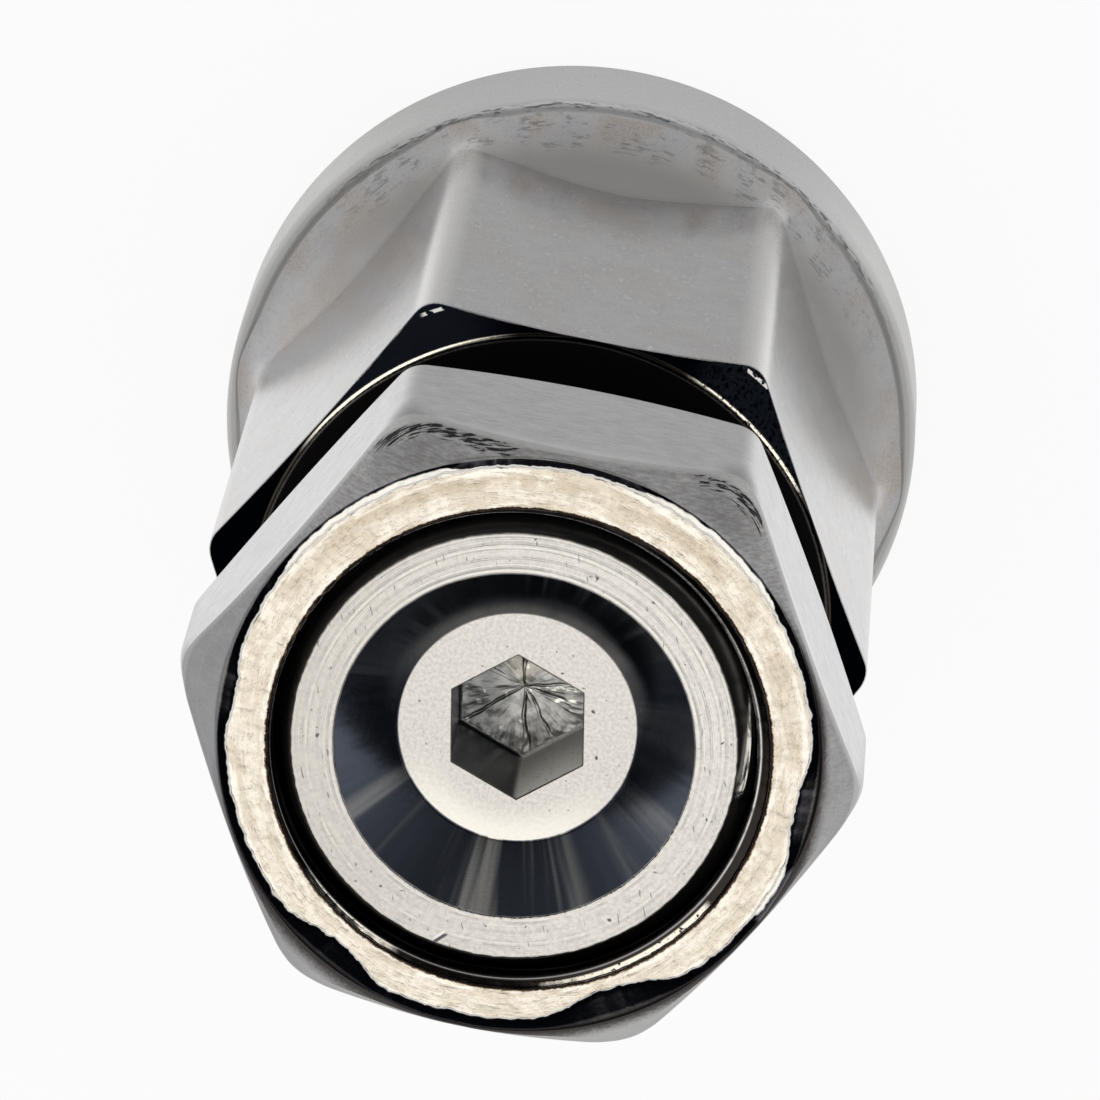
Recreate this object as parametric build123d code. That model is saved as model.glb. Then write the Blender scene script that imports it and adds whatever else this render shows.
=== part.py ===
"""Wheel nut with a threaded post and a cover nut.

Three pieces on one upright axis, +Z from the seat face to the outer end of the post:
the wheel nut with its round flange, the post screwed into its outer end, and the cover nut
that runs along the post and clamps a wheel cover against the wheel nut.
The origin is the centre of the flat seat face. All sizes are in millimetres.
"""

import os
from math import cos, radians, tan

from build123d import *

# ---------------------------------------------------------------- driving dimensions

# both hexagons
HEX_ACROSS_FLATS = 22.2      # 7/8 in wrench size
HEX_EDGE_RADIUS = 1.1        # rounding along the six long edges
HEX_CHAMFER_ANGLE = 30.0     # of the turned hexagon ends, from the end face

FACE_INSET = 0.1             # between the flats and the edge of a full flat end face

# wheel nut
WHEEL_NUT_HEIGHT = 30.1
FACE_EDGE_RADIUS = 0.25      # small round where its outer face meets the chamfer
FLANGE_OVERHANG = 2.8        # of the round flange beyond the flats
RIM_HEIGHT = 5.4             # upright edge of the flange
RIM_EDGE_RADIUS = 0.45
SEAT_CHAMFER = 0.4
FLARE_HEIGHT = 5.1           # from the rim up to where the flats run out
FLARE_INSET = 0.25           # how far the flare starts inside the flats

# stud thread in the wheel nut, 9/16-18
STUD_HOLE_RADIUS = 6.38      # crest radius of the internal thread
STUD_HOLE_DEPTH = 18.0
STUD_LEAD_IN = 0.9

# threaded post, 11/16-16
POST_THREAD_RADIUS = 8.73    # crest radius of the external thread
THREAD_PITCH = 1.5875
POST_END_DROP = 0.15         # end face below the lip of the cover nut
POST_LEAD_IN = 0.63          # chamfer on the outer end, 45 degrees
NECK_RELIEF = 1.03           # radial depth below the crests where the post leaves the wheel nut
NECK_LENGTH = 2.0

# recess and key socket in the end of the post
END_RING_WIDTH = 1.55        # flat ring between the lead chamfer and the recess
RECESS_DEPTH = 2.2
RECESS_ANGLE = 90.0          # included angle of its conical wall
SOCKET_ACROSS_FLATS = 4.76   # 3/16 in key
SOCKET_DEPTH = 4.7
SOCKET_DRILL_DEPTH = 0.25    # shallow point below the six walls
SOCKET_TURN = 40.0           # degrees between the key socket and the hexagons

# cover nut
COVER_NUT_HEIGHT = 9.1
CLAMP_TURNS = 4              # whole turns of travel before it meets the wheel nut
MOUTH_BEVEL = 0.37           # at both ends of its bore, 45 degrees
LIP_WIDTH = 1.21             # raised ring round the outer mouth
LIP_HEIGHT = 0.25
LIP_EDGE_RADIUS = 0.15
THREAD_CLEARANCE = 0.05      # radial, between the post and the cover nut

# ---------------------------------------------------------------- derived places

APOTHEM = HEX_ACROSS_FLATS / 2
CORNER_RADIUS = APOTHEM / cos(radians(30))
CHAMFER_SLOPE = tan(radians(HEX_CHAMFER_ANGLE))
FACE_RADIUS = APOTHEM - FACE_INSET
FLANGE_RADIUS = APOTHEM + FLANGE_OVERHANG
COVER_GAP = CLAMP_TURNS * THREAD_PITCH
COVER_BASE = WHEEL_NUT_HEIGHT + COVER_GAP
COVER_TOP = COVER_BASE + COVER_NUT_HEIGHT
COVER_BORE_RADIUS = POST_THREAD_RADIUS + THREAD_CLEARANCE
MOUTH_RADIUS = COVER_BORE_RADIUS + MOUTH_BEVEL
LIP_OUTER_RADIUS = MOUTH_RADIUS + LIP_WIDTH
POST_END_HEIGHT = COVER_TOP - POST_END_DROP


def turned(points):
    """A solid of revolution about Z from (radius, height) corners."""
    outline = Polyline(*[(radius, 0, height) for radius, height in points], close=True)
    return revolve(make_face(outline), Axis.Z)


def hexagon(base, height):
    """An upright hexagonal bar with rounded edges and corners on the X axis."""
    profile = RegularPolygon(radius=CORNER_RADIUS, side_count=6, major_radius=True)
    profile = fillet(profile.vertices(), HEX_EDGE_RADIUS)
    return Pos(0, 0, base) * extrude(profile, height)


def chamfered_end(bar, face_radius, face_height, outward):
    """Trim one end of a bar to a flat face and a cone; outward is +1 for the top, -1 for the bottom."""
    reach = 2 * CORNER_RADIUS
    depth = (reach - face_radius) * CHAMFER_SLOPE
    body_end = face_height - outward * 3 * HEX_ACROSS_FLATS
    envelope = turned([
        (0, face_height),
        (face_radius, face_height),
        (reach, face_height - outward * depth),
        (reach, body_end),
        (0, body_end),
    ])
    return bar & envelope


def edges_at(solid, radius, height, tolerance=1e-3):
    """The circular edges of a solid with this radius and height, centred on Z."""
    return [
        edge for edge in solid.edges().filter_by(GeomType.CIRCLE)
        if abs(edge.radius - radius) < tolerance
        and abs(edge.arc_center.Z - height) < tolerance
        and abs(edge.arc_center.X) + abs(edge.arc_center.Y) < tolerance
    ]


def flange():
    """The round flange: an upright rim and a hollow flare that runs up into the flats."""
    flare_radius = APOTHEM - FLARE_INSET
    flare_top = RIM_HEIGHT + FLARE_HEIGHT
    run = FLANGE_RADIUS - flare_radius
    sweep = (run ** 2 + FLARE_HEIGHT ** 2) / (2 * run)       # arc that is upright at its top
    middle = Vector(flare_radius + sweep, 0, flare_top)
    halfway = Vector(run - 2 * sweep, 0, -FLARE_HEIGHT).normalized() * sweep
    outline = [
        Line((0, 0, 0), (FLANGE_RADIUS, 0, 0)),
        Line((FLANGE_RADIUS, 0, 0), (FLANGE_RADIUS, 0, RIM_HEIGHT)),
        ThreePointArc((FLANGE_RADIUS, 0, RIM_HEIGHT), middle + halfway, (flare_radius, 0, flare_top)),
        Line((flare_radius, 0, flare_top), (0, 0, flare_top)),
        Line((0, 0, flare_top), (0, 0, 0)),
    ]
    body = revolve(make_face(Wire(outline)), Axis.Z)
    body = fillet(edges_at(body, FLANGE_RADIUS, RIM_HEIGHT), RIM_EDGE_RADIUS)
    return chamfer(edges_at(body, FLANGE_RADIUS, 0), SEAT_CHAMFER)


def wheel_nut():
    """The flanged nut that clamps the wheel, bored for the stud below and the post above."""
    bar = chamfered_end(hexagon(0, WHEEL_NUT_HEIGHT), FACE_RADIUS, WHEEL_NUT_HEIGHT, +1)
    body = bar + flange()
    body = fillet(edges_at(body, FACE_RADIUS, WHEEL_NUT_HEIGHT), FACE_EDGE_RADIUS)
    bores = turned([
        (0, 0),
        (STUD_HOLE_RADIUS + STUD_LEAD_IN, 0),
        (STUD_HOLE_RADIUS, STUD_LEAD_IN),
        (STUD_HOLE_RADIUS, STUD_HOLE_DEPTH),
        (POST_THREAD_RADIUS, STUD_HOLE_DEPTH),
        (POST_THREAD_RADIUS, WHEEL_NUT_HEIGHT),
        (0, WHEEL_NUT_HEIGHT),
    ])
    return body - bores


def key_socket(mouth_height):
    """The six-sided key socket with its shallow drilled point."""
    profile = RegularPolygon(radius=SOCKET_ACROSS_FLATS / 2, side_count=6, major_radius=False)
    walls = Pos(0, 0, mouth_height - SOCKET_DEPTH) * Rot(0, 0, SOCKET_TURN) * extrude(profile, SOCKET_DEPTH)
    point_radius = SOCKET_ACROSS_FLATS / 2
    point = turned([
        (0, mouth_height - SOCKET_DEPTH - SOCKET_DRILL_DEPTH),
        (point_radius, mouth_height - SOCKET_DEPTH),
        (0, mouth_height - SOCKET_DEPTH),
    ])
    return walls + point


def threaded_post():
    """The turned post: thread crests as a plain cylinder, relief neck, lead chamfer and key socket."""
    neck_radius = POST_THREAD_RADIUS - NECK_RELIEF
    neck_top = WHEEL_NUT_HEIGHT + NECK_LENGTH
    end_radius = POST_THREAD_RADIUS - POST_LEAD_IN
    mouth_radius = end_radius - END_RING_WIDTH
    recess_floor = POST_END_HEIGHT - RECESS_DEPTH
    floor_radius = mouth_radius - RECESS_DEPTH * tan(radians(RECESS_ANGLE / 2))
    body = turned([
        (0, STUD_HOLE_DEPTH),
        (POST_THREAD_RADIUS, STUD_HOLE_DEPTH),
        (POST_THREAD_RADIUS, WHEEL_NUT_HEIGHT),
        (neck_radius, WHEEL_NUT_HEIGHT),
        (neck_radius, neck_top),
        (POST_THREAD_RADIUS, neck_top + NECK_RELIEF),
        (POST_THREAD_RADIUS, POST_END_HEIGHT - POST_LEAD_IN),
        (end_radius, POST_END_HEIGHT),
        (mouth_radius, POST_END_HEIGHT),
        (floor_radius, recess_floor),
        (0, recess_floor),
    ])
    return body - key_socket(recess_floor)


def cover_nut():
    """The open nut on the post, with a raised ring round its outer mouth."""
    shoulder = COVER_TOP - LIP_HEIGHT
    bar = hexagon(COVER_BASE, COVER_NUT_HEIGHT - LIP_HEIGHT)
    bar = chamfered_end(bar, LIP_OUTER_RADIUS, shoulder, +1)
    bar = chamfered_end(bar, FACE_RADIUS, COVER_BASE, -1)
    lip = Pos(0, 0, shoulder - LIP_HEIGHT) * extrude(Circle(LIP_OUTER_RADIUS), 2 * LIP_HEIGHT)
    body = bar + lip
    body = fillet(edges_at(body, LIP_OUTER_RADIUS, COVER_TOP), LIP_EDGE_RADIUS)
    bore = turned([
        (0, COVER_BASE),
        (MOUTH_RADIUS, COVER_BASE),
        (COVER_BORE_RADIUS, COVER_BASE + MOUTH_BEVEL),
        (COVER_BORE_RADIUS, COVER_TOP - MOUTH_BEVEL),
        (MOUTH_RADIUS, COVER_TOP),
        (0, COVER_TOP),
    ])
    return body - bore


def main():
    """Write each piece to its own file."""
    os.makedirs("parts", exist_ok=True)
    for piece in (wheel_nut, threaded_post, cover_nut):
        export_step(piece(), f"parts/{piece.__name__}.step")


main()
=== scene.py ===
"""Looks of the wheel nut, its threaded post and the cover nut that runs along the post.

The three pieces stand on the flat seat face, with the post's end up. Sizes are written in
millimetres and turned into metres where each surface is laid out.
"""

from collections import namedtuple
from math import asin, cos, pi, radians, sin, sqrt, tan

import bpy
from mathutils import Matrix, Vector


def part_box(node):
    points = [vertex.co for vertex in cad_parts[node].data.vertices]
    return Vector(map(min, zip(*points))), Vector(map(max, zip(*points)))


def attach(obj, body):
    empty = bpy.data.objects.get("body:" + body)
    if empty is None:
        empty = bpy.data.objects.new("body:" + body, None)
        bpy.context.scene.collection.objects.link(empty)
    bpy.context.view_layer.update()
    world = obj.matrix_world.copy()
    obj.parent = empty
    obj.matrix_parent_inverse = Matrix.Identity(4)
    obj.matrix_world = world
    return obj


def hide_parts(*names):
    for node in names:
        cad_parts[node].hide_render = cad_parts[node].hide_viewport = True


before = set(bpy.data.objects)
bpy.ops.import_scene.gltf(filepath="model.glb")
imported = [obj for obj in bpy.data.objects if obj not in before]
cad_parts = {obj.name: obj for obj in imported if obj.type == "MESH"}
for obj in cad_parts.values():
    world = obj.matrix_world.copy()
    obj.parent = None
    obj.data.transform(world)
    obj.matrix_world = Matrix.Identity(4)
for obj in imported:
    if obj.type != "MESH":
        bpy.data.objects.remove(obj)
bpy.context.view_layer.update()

MM = 0.001

# ---------------------------------------------------------------- sizes, in millimetres

ACROSS_FLATS = 22.2
APOTHEM = ACROSS_FLATS / 2
HEX_EDGE_ROUND = 1.1
CHAMFER_SLOPE = tan(radians(30))
FACE_RADIUS = 11.0
CORNER_REACH = (APOTHEM - HEX_EDGE_ROUND) / cos(radians(30)) + HEX_EDGE_ROUND

# corners of each piece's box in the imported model
_, WHEEL_HIGH = (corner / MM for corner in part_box("wheel_nut"))
COVER_LOW, COVER_HIGH = (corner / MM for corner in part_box("cover_nut"))
_, POST_HIGH = (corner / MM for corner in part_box("threaded_post"))

NUT_TOP = WHEEL_HIGH.z
FLANGE_RADIUS = WHEEL_HIGH.x - 0.003      # a hair inside the box
RIM_HEIGHT = 5.4
FLARE_HEIGHT = 5.1
FLARE_RADIUS = 10.85
STUD_RADIUS = 6.38
STUD_MOUTH = 7.28
STUD_DEPTH = 18.0
STUD_PITCH = 1.411
STUD_GROOVE = 0.75           # depth of the stud thread's groove
STUD_WALL = 7.6              # radius inside the metal where the thread's surface meets the shell

BASE_CLEARANCE = 0.02        # keeps the two nuts from cutting into each other where they meet
COVER_BASE = COVER_LOW.z + BASE_CLEARANCE
COVER_TOP = COVER_HIGH.z
BORE_RADIUS = 8.78
BORE_GROOVE = 0.7
BORE_THREAD_START = 0.35
MOUTH_RADIUS = 9.13
LIP_RADIUS = 10.54
SHELF_RADIUS = 10.97         # outer edge of the sloping band round the lip
SHELF_DROP = 0.27
BROW_HEIGHT = 1.0            # of the soft brow between the shoulder and a full flat, at the corners
HEXAGON_OFF_AXIS = 0.12
FRONT_EDGE_ROUND = 2.8       # of the hexagon's upright edges where they run out at the shoulder
SHOULDER_SLOPE = tan(radians(31))
# places where the lip is worn back, beside corners of the hexagon: bearing, depth and spread
LIP_DIPS = ((241.0, 0.55, 6.5), (302.0, 0.68, 8.5), (359.0, 0.36, 6.0), (180.0, 0.2, 4.5))
# flat burrs along the outside of the lip, painted bright as a highlight: bearing, half the length and
# width
LIP_BURRS = ((58.0, 22.0, 0.14), (132.0, 26.0, 0.14), (341.0, 8.0, 0.10))

POST_RADIUS = 8.73
POST_END = POST_HIGH.z
POST_PITCH = 1.5875
POST_GROOVE = 0.97
POST_THREAD_START = 0.05     # as a part of a turn
# the flattened end of the post's thread: its bearing, and the radius in the middle of its step
THREAD_END_BEARING, THREAD_END_RADIUS = 11.0, 8.35
NECK_RADIUS = 7.7
NECK_TOP = 32.1
END_RADIUS = 8.1
RECESS_RADIUS = 6.55
FLOOR_RADIUS = 4.38
RECESS_FLOOR = 43.2
SOCKET_APOTHEM = 2.38
SOCKET_TURN = 40.0
SOCKET_FLOOR = 38.5
# faces round each turned surface; each piece stays under 200,000 triangles
WHEEL_NUT_COLUMNS, STUD_COLUMNS, COVER_NUT_COLUMNS, POST_COLUMNS = 720, 156, 648, 414
# creases of the key socket's floor: bearing and depth
FLOOR_CREASES = ((102.0, 1.3), (222.0, 0.8), (282.0, 0.8), (312.0, 0.5), (14.0, 0.6), (350.0, 0.4))


# ---------------------------------------------------------------- writing node trees as expressions

class Value:
    """One output of a node tree, used in ordinary arithmetic."""

    def __init__(self, graph, socket):
        self.graph, self.socket = graph, socket

    def calc(self, operation, *terms):
        return self.graph.add("ShaderNodeMath", {"operation": operation}, dict(enumerate(terms)))

    def __add__(self, other):
        return self.calc("ADD", self, other)

    def __radd__(self, other):
        return self.calc("ADD", other, self)

    def __sub__(self, other):
        return self.calc("SUBTRACT", self, other)

    def __rsub__(self, other):
        return self.calc("SUBTRACT", other, self)

    def __mul__(self, other):
        return self.calc("MULTIPLY", self, other)

    def __rmul__(self, other):
        return self.calc("MULTIPLY", other, self)

    def __truediv__(self, other):
        return self.calc("DIVIDE", self, other)

    def __rtruediv__(self, other):
        return self.calc("DIVIDE", other, self)

    def __pow__(self, other):
        return self.calc("POWER", self, other)

    def __abs__(self):
        return self.calc("ABSOLUTE", self)

    def __mod__(self, other):
        return self.calc("FLOORED_MODULO", self, other)

    def __gt__(self, other):
        return self.calc("GREATER_THAN", self, other)

    def __lt__(self, other):
        return self.calc("LESS_THAN", self, other)


class Graph:
    """A node tree, with one method that adds any node."""

    def __init__(self, tree):
        self.tree = tree

    def add(self, kind, settings=None, sockets=None, out=0):
        node = self.tree.nodes.new(kind)
        for name, setting in (settings or {}).items():
            if name == "items":
                while len(node.index_switch_items) < setting:
                    node.index_switch_items.new()
            else:
                setattr(node, name, setting)
        for key, given in (sockets or {}).items():
            for part in given if isinstance(given, list) else [given]:
                if isinstance(part, Value):
                    self.tree.links.new(part.socket, node.inputs[key])
                else:
                    node.inputs[key].default_value = part
        return None if out is None else Value(self, node.outputs[out])

    def split(self, vector):
        first = self.add("ShaderNodeSeparateXYZ", None, {0: vector})
        outputs = first.socket.node.outputs
        return [Value(self, outputs[axis]) for axis in range(3)]

    def join(self, x, y, z):
        return self.add("ShaderNodeCombineXYZ", None, {0: x, 1: y, 2: z})

    def pick(self, number, choices):
        """The choice whose place in the list is number."""
        sockets = {0: number}
        sockets.update({place + 1: choice for place, choice in enumerate(choices)})
        settings = {"data_type": "FLOAT", "items": len(choices)}
        return self.add("GeometryNodeIndexSwitch", settings, sockets)

    def step(self, value, low, high, start=0.0, end=1.0):
        """Rises smoothly from start to end as the value goes from low to high."""
        return self.add("ShaderNodeMapRange", {"interpolation_type": "SMOOTHSTEP"},
                        {0: value, 1: low, 2: high, 3: start, 4: end})

    def noise(self, vector, scale, seed=0.0, detail=2.0, roughness=0.5):
        away = (seed * 17.3, seed * -9.1, seed * 5.7)
        moved = self.add("ShaderNodeVectorMath", {"operation": "ADD"}, {0: vector, 1: away})
        return self.add("ShaderNodeTexNoise", {"noise_dimensions": "3D"},
                        {"Vector": moved, "Scale": scale, "Detail": detail, "Roughness": roughness})

    def shade(self, amount, first, second):
        """A colour that goes from the first to the second with the amount."""
        return self.add("ShaderNodeMix", {"data_type": "RGBA"},
                        {0: amount, 6: colour(first), 7: colour(second)}, out=2)

    def stretch(self, vector, amounts):
        return self.add("ShaderNodeVectorMath", {"operation": "MULTIPLY"}, {0: vector, 1: amounts})


def colour(given):
    return given if isinstance(given, Value) else (*given, 1.0)


def calc(operation, *terms):
    """A Math node on terms of which at least one is a Value."""
    owner = next(term for term in terms if isinstance(term, Value))
    return owner.calc(operation, *terms)


def cosine(angle):
    return calc("COSINE", angle)


def sine(angle):
    return calc("SINE", angle)


def square_root(value):
    return calc("SQRT", value)


def most(first, *others):
    """The largest of some terms."""
    for other in others:
        first = calc("MAXIMUM", first, other)
    return first


def least(first, second):
    return calc("MINIMUM", first, second)


def choose(condition, yes, no):
    return no + condition * (yes - no)


# ---------------------------------------------------------------- surfaces turned about the axis

# One corner of an outline: its radius and height, how far its rounding reaches along both
# sides, and the rows of faces on the way to it and round it. A sweep takes all of both sides.
Corner = namedtuple("Corner", "radius height rounding run turn region sweep",
                    defaults=(4, 5, "plain", False))


def hexagon_reach(g, bearing, apothem, rounding):
    """Distance from the axis to a hexagon with rounded corners, one of them on the X axis."""
    from_middle = abs((bearing % (pi / 3)) - pi / 6)
    from_corner = pi / 6 - from_middle
    flat = apothem / cosine(from_middle)
    centre = (apothem - rounding) / cos(pi / 6)
    across = centre * sine(from_corner)
    drop = square_root(most(rounding * rounding - across * across, 0.0))
    arc = centre * cosine(from_corner) + drop
    tangent = calc("ARCTANGENT", (apothem - rounding) * tan(pi / 6) / apothem)
    return choose(from_middle > tangent, arc, flat)


def outline_spans(g, corners, closed):
    """Curved and straight spans, each as three guide points, from rounded corners."""
    count = len(corners)
    gaps = range(count if closed else count - 1)
    lengths = []
    for place in gaps:
        here, after = corners[place], corners[(place + 1) % count]
        dr, dz = after.radius - here.radius, after.height - here.height
        lengths.append(sqrt(dr * dr + dz * dz) if not isinstance(dr * dr + dz * dz, Value)
                       else square_root(dr * dr + dz * dz))

    def share(place, gap):
        """The part of a side that a corner's rounding takes."""
        corner, other = corners[place], corners[(gap + 1) % count if place == gap else gap]
        if corner.sweep:
            return 1.0 - share(corners.index(other), gap)
        amount = corner.rounding / lengths[gap]
        return least(amount, 0.48) if isinstance(amount, Value) else min(amount, 0.48)

    spans = []

    def along(place, gap):
        corner, other = corners[place], corners[(gap + 1) % count if place == gap else gap]
        part = share(place, gap)
        return (corner.radius + part * (other.radius - corner.radius),
                corner.height + part * (other.height - corner.height))

    for place, corner in enumerate(corners):
        before, after = (place - 1) % count, place
        tip = (corner.radius, corner.height)
        first = along(place, before) if closed or place > 0 else tip
        last = along(place, after) if closed or place < count - 1 else tip
        if place > 0 or closed:
            start = (along(before, before) if closed or before > 0
                     else (corners[before].radius, corners[before].height))
            if not corner.sweep and not corners[before].sweep:
                middle = tuple(0.5 * a + 0.5 * b for a, b in zip(start, first))
                spans.append((start, middle, first, corner.run, corner.region, 0.0))
        if closed or 0 < place < count - 1:
            spans.append((first, tip, last, corner.turn, corner.region, 0.0 if corner.sweep else 1.0))
    return spans


def turned_surface(g, columns, corners_at, closed=True, details=None, regions=(), ridge=False,
                   measures=None):
    """A surface turned about Z whose outline may change with the bearing."""
    place = g.add("GeometryNodeInputPosition")
    across, along, _ = g.split(place)
    bearing = across + pi
    corners = corners_at(bearing)
    spans = outline_spans(g, corners, closed)
    rows = sum(span[3] for span in spans)
    row = calc("ROUND", along + rows / 2)

    starts, total = [], 0
    for span in spans:
        starts.append(total)
        total += span[3]
    number = 0.0
    for start in starts[1:]:
        number = (row > start + 0.5) + number
    start = g.pick(number, [float(s) for s in starts])
    size = g.pick(number, [float(span[3]) for span in spans])
    t = (row - start) / size
    bent = g.pick(number, [span[5] for span in spans])
    eased = t * t * t * (t * (t * 6.0 - 15.0) + 10.0)
    t = choose(bent, t, eased)

    def guided(axis):
        a, b, c = (g.pick(number, [span[point][axis] for span in spans]) for point in range(3))
        u = 1.0 - t
        return a * u * u + b * (2.0 * (u * t)) + c * t * t

    radius, height = guided(0), guided(1)
    if details:
        radius, height = details(bearing, radius, height)
    grid = g.add("GeometryNodeMeshGrid", None, {"Size X": 2 * pi, "Size Y": float(rows),
                                                "Vertices X": columns + 1, "Vertices Y": rows + 1})
    marked = grid
    marks = {"edge": bent}
    if ridge:
        marks["ridge"] = g.step(pi / 6 - abs((bearing % (pi / 3)) - pi / 6), radians(4.5), radians(1.5))
    for region in regions:
        marks[region] = g.pick(number, [float(span[4] == region) for span in spans])
    if measures:
        marks.update(measures(bearing, radius, height))
    for name, mark in marks.items():
        marked = g.add("GeometryNodeStoreNamedAttribute", {"data_type": "FLOAT", "domain": "POINT"},
                       {"Geometry": marked, "Name": name, "Value": mark})
    position = g.join(radius * cosine(bearing) * MM, radius * sine(bearing) * MM, height * MM)
    shaped = g.add("GeometryNodeSetPosition", None, {"Geometry": marked, "Position": position})
    return g.add("GeometryNodeMergeByDistance", None, {"Geometry": shaped, "Distance": 1e-7})


def thread_depth(bearing, height, pitch, depth, start=0.0):
    """Depth of a right-hand 60 degree groove below its crests."""
    turns = (height / pitch - bearing / (2 * pi) - start) % 1.0
    off_middle = abs(turns - 0.5) * pitch
    return least(most((pitch * 7 / 16 - off_middle) * sqrt(3), 0.0), depth)


def built(name, sizes, shape, finish):
    """Run a geometry tree once and keep its result as a plain mesh."""
    tree = bpy.data.node_groups.new(name, "GeometryNodeTree")
    inputs = {label: tree.interface.new_socket(label, in_out="INPUT", socket_type="NodeSocketFloat")
              for label in sizes}
    tree.interface.new_socket("Surface", in_out="OUTPUT", socket_type="NodeSocketGeometry")
    g = Graph(tree)
    entry = tree.nodes.new("NodeGroupInput")
    surface = shape(g, {label: Value(g, entry.outputs[label]) for label in sizes})
    surface = g.add("GeometryNodeSetShadeSmooth", None, {"Geometry": surface, "Shade Smooth": True})
    surface = g.add("GeometryNodeRealizeInstances", None, {"Geometry": surface})
    surface = g.add("GeometryNodeSetMaterial", None, {"Geometry": surface, "Material": finish})
    exit_node = tree.nodes.new("NodeGroupOutput")
    tree.links.new(surface.socket, exit_node.inputs[0])

    host = bpy.data.objects.new(name + "_host", bpy.data.meshes.new(name + "_host"))
    bpy.context.scene.collection.objects.link(host)
    modifier = host.modifiers.new(name, "NODES")
    modifier.node_group = tree
    for label, amount in sizes.items():
        modifier[inputs[label].identifier] = float(amount)
    seen = host.evaluated_get(bpy.context.evaluated_depsgraph_get())
    mesh = bpy.data.meshes.new_from_object(seen)
    mesh.name = name
    host.modifiers.remove(modifier)
    bpy.data.objects.remove(host)
    piece = bpy.data.objects.new(name, mesh)
    bpy.context.scene.collection.objects.link(piece)
    return piece


# ---------------------------------------------------------------- the three pieces

def wheel_nut_shape(g, size):
    apothem, face, flange = size["Apothem"], size["Face radius"], size["Flange radius"]
    top = size["Height"]
    run = FLANGE_RADIUS - FLARE_RADIUS
    sweep = (run ** 2 + FLARE_HEIGHT ** 2) / (2 * run)
    flare_top = RIM_HEIGHT + FLARE_HEIGHT
    centre = FLARE_RADIUS + sweep
    low_turn = asin(FLARE_HEIGHT / sweep)

    def corners(bearing):
        reach = hexagon_reach(g, bearing, apothem, size["Edge rounding"])
        turn = calc("ARCCOSINE", (centre - reach) / sweep)
        middle, half = (turn + low_turn) * 0.5, (low_turn - turn) * 0.5
        bow = sweep / cosine(half)
        rim_of_face = least(face + 0.1 * cosine(bearing - radians(50)), reach - 0.02)
        return [
            Corner(STUD_WALL, 0.0, 0.02, 2, 1),
            Corner(flange - 0.4, 0.0, 0.1, 4, 3),
            Corner(flange, 0.4, 0.1, 2, 3, "rim"),
            Corner(flange, RIM_HEIGHT, 0.7, 4, 12, "rim"),
            Corner(centre - bow * cosine(middle), flare_top - bow * sine(middle), 0.0, 0, 18,
                   "flare", True),
            Corner(reach, flare_top - sweep * sine(turn), 0.35, 0, 6, "flare"),
            Corner(reach, top - (reach - rim_of_face) * CHAMFER_SLOPE, 0.05, 12, 4, "flat"),
            Corner(rim_of_face, top, 0.11, 8, 6, "chamfer"),
            Corner(POST_RADIUS + 0.2, top, 0.04, 5, 3, "face"),
            Corner(POST_RADIUS + 0.01, top - 0.2, 0.02, 2, 2, "face"),
            Corner(POST_RADIUS + 0.01, STUD_DEPTH, 0.02, 2, 1),
            Corner(STUD_WALL, STUD_DEPTH, 0.02, 1, 1),
        ]

    shell = turned_surface(g, WHEEL_NUT_COLUMNS, corners,
                           regions=("rim", "flare", "flat", "chamfer", "face"), ridge=True)

    def stud_corners(bearing):
        return [
            Corner(STUD_WALL, 0.0, 0.02, 2, 1),
            Corner(STUD_WALL, STUD_DEPTH, 0.02, 2, 1),
            Corner(STUD_RADIUS, STUD_DEPTH, 0.02, 2, 1),
            Corner(STUD_RADIUS, 0.9, 0.02, 130, 1, "bore"),
            Corner(STUD_MOUTH, 0.0, 0.05, 8, 2, "bore"),
        ]

    def stud_thread(bearing, radius, height):
        groove = STUD_RADIUS + thread_depth(bearing, height, STUD_PITCH, STUD_GROOVE)
        cut = (height > 0.02) * (height < STUD_DEPTH - 0.6) * (radius < STUD_WALL - 0.1)
        groove = choose(cut, groove, 0.0)
        return most(radius, groove), height

    wall = turned_surface(g, STUD_COLUMNS, stud_corners, details=stud_thread, regions=("bore",))
    return g.add("GeometryNodeJoinGeometry", None, {0: [shell, wall]})


def round_the_axis(g, bearing, wavelengths, seed, detail=2.0):
    """Uneven between -1 and 1 with the bearing, and the same again after a whole turn."""
    ring = g.join(cosine(bearing) * wavelengths, sine(bearing) * wavelengths, 0.0)
    return g.noise(ring, 1.0, seed, detail) * 2.0 - 1.0


def turned_from(bearing, place):
    """How far a bearing lies from a place on the round, in degrees, either way."""
    return abs(((bearing * (180 / pi) - place + 180.0) % 360.0) - 180.0)


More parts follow.
